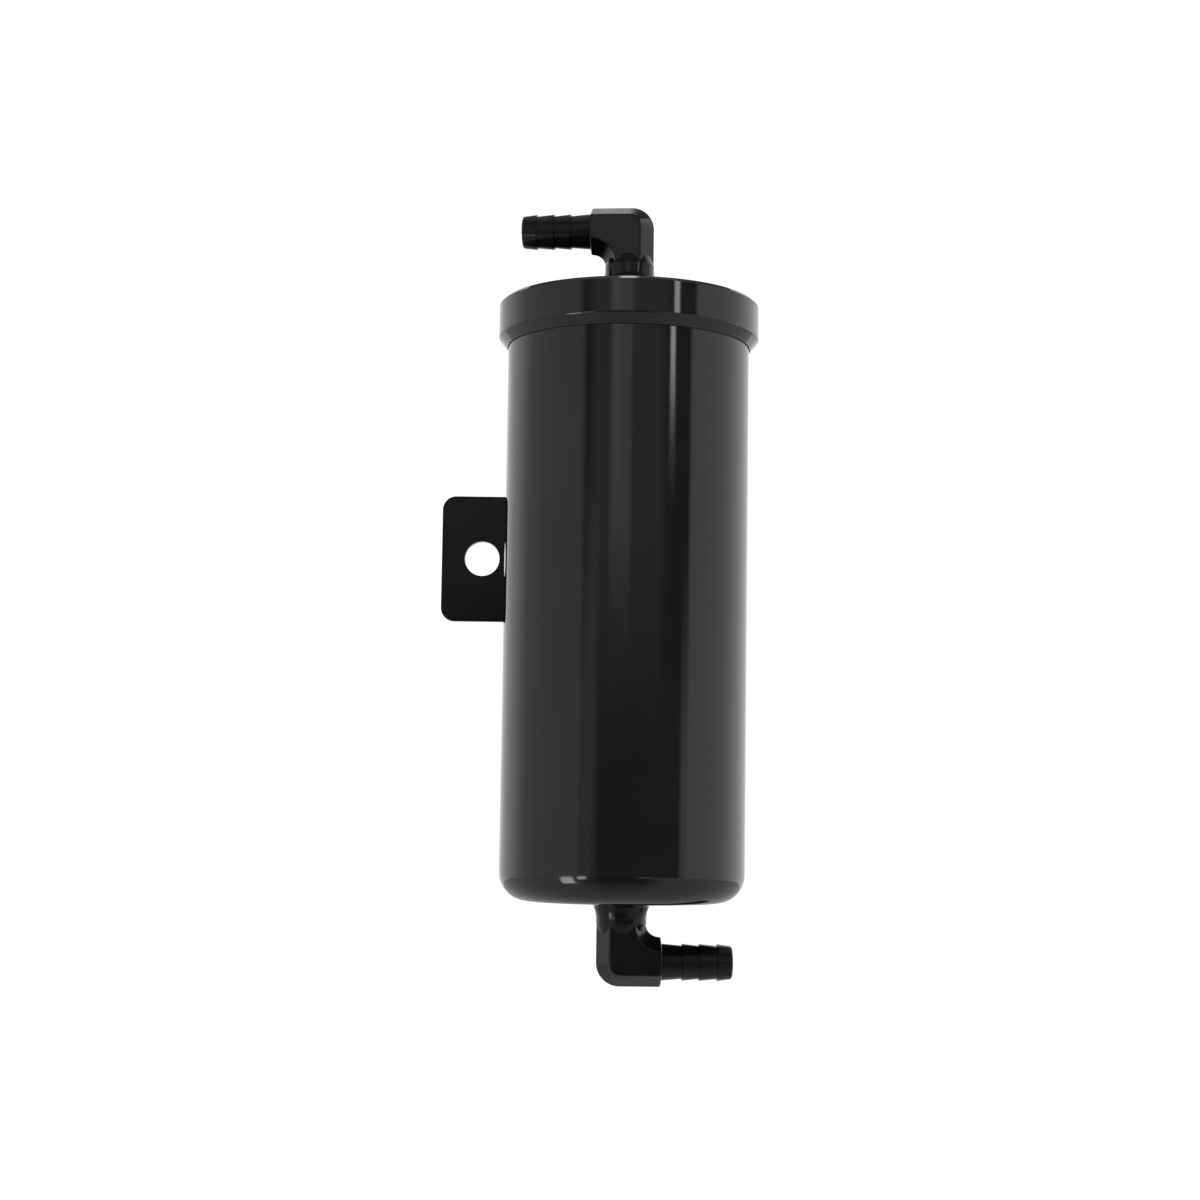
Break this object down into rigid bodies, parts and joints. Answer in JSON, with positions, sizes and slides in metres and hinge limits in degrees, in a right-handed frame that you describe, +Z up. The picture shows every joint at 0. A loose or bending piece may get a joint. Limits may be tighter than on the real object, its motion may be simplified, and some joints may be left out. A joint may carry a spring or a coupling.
{
  "type": "hydraulic reservoir",
  "caption": "Inline black anodised oil reservoir with a screw-on lid, a filter cartridge on a spring, hose elbows in lid and base and a flat side bracket.",
  "frame": {"origin": "centre of the bracket's bolt hole, on the side of the plate that lies against the wall", "axes": "+Z up the can, from the outlet to the inlet; +Y into the wall; +X from the bolt hole towards the can"},
  "size_m": [0.1022, 0.0822, 0.2453],
  "materials": {
    "can_finish": "gloss black anodised",
    "lid_finish": "turned, gloss black anodised",
    "fitting_finish": "forged and machined, gloss black anodised",
    "bracket_finish": "gloss black anodised plate",
    "weld_finish": "rippled weld bead, black anodised",
    "bare_aluminium": "machined",
    "plated_steel": "zinc plated sheet",
    "spring_steel": "drawn spring wire",
    "nitrile": "moulded nitrile rubber",
    "filter_paper": "pleated resin-treated paper",
    "adhesive": "cast adhesive"
  },
  "bodies": {
    "can": {"can_shell": "can_finish", "outlet_boss": "bare_aluminium", "outlet_boss_weld": "weld_finish", "mounting_bracket": "bracket_finish", "bracket_welds": "weld_finish", "outlet_elbow": "fitting_finish", "outlet_port_ring": "nitrile", "baffle_plate": "plated_steel"},
    "filter": {"filter_top_cap": "plated_steel", "filter_bottom_cap": "plated_steel", "filter_core": "plated_steel", "filter_outer_tube": "plated_steel", "filter_media": "filter_paper", "filter_potting": "adhesive", "media_seam_clip": "plated_steel", "filter_grommet": "nitrile", "filter_spring": "spring_steel"},
    "lid_seal": {"lid_o_ring": "nitrile"},
    "lid": {"lid": "lid_finish", "return_tube": "bare_aluminium", "inlet_elbow": "fitting_finish", "inlet_port_ring": "nitrile"}
  },
  "joints": [
    {"name": "filter_bypass", "type": "slide", "parent": "can", "child": "filter", "axis": [0, 0, -1], "range_m": [0, 0.005], "stiffness_N_per_m": 400, "springref_m": -0.02, "deforming": ["filter_spring"]},
    {"name": "lid_lift", "type": "slide", "parent": "can", "child": "lid_seal", "axis": [0, 0, 1], "range_m": [0, 0.009]},
    {"name": "lid_turn", "type": "hinge", "parent": "lid_seal", "child": "lid", "pos_m": [0.04765, -0.0411, 0.0727], "axis": [0, 0, 1], "range_deg": [0, 1080]}
  ],
  "couplings": [
    {"joint": "lid_lift", "follows": "lid_turn", "m_per_rad": 0.00047746}
  ]
}
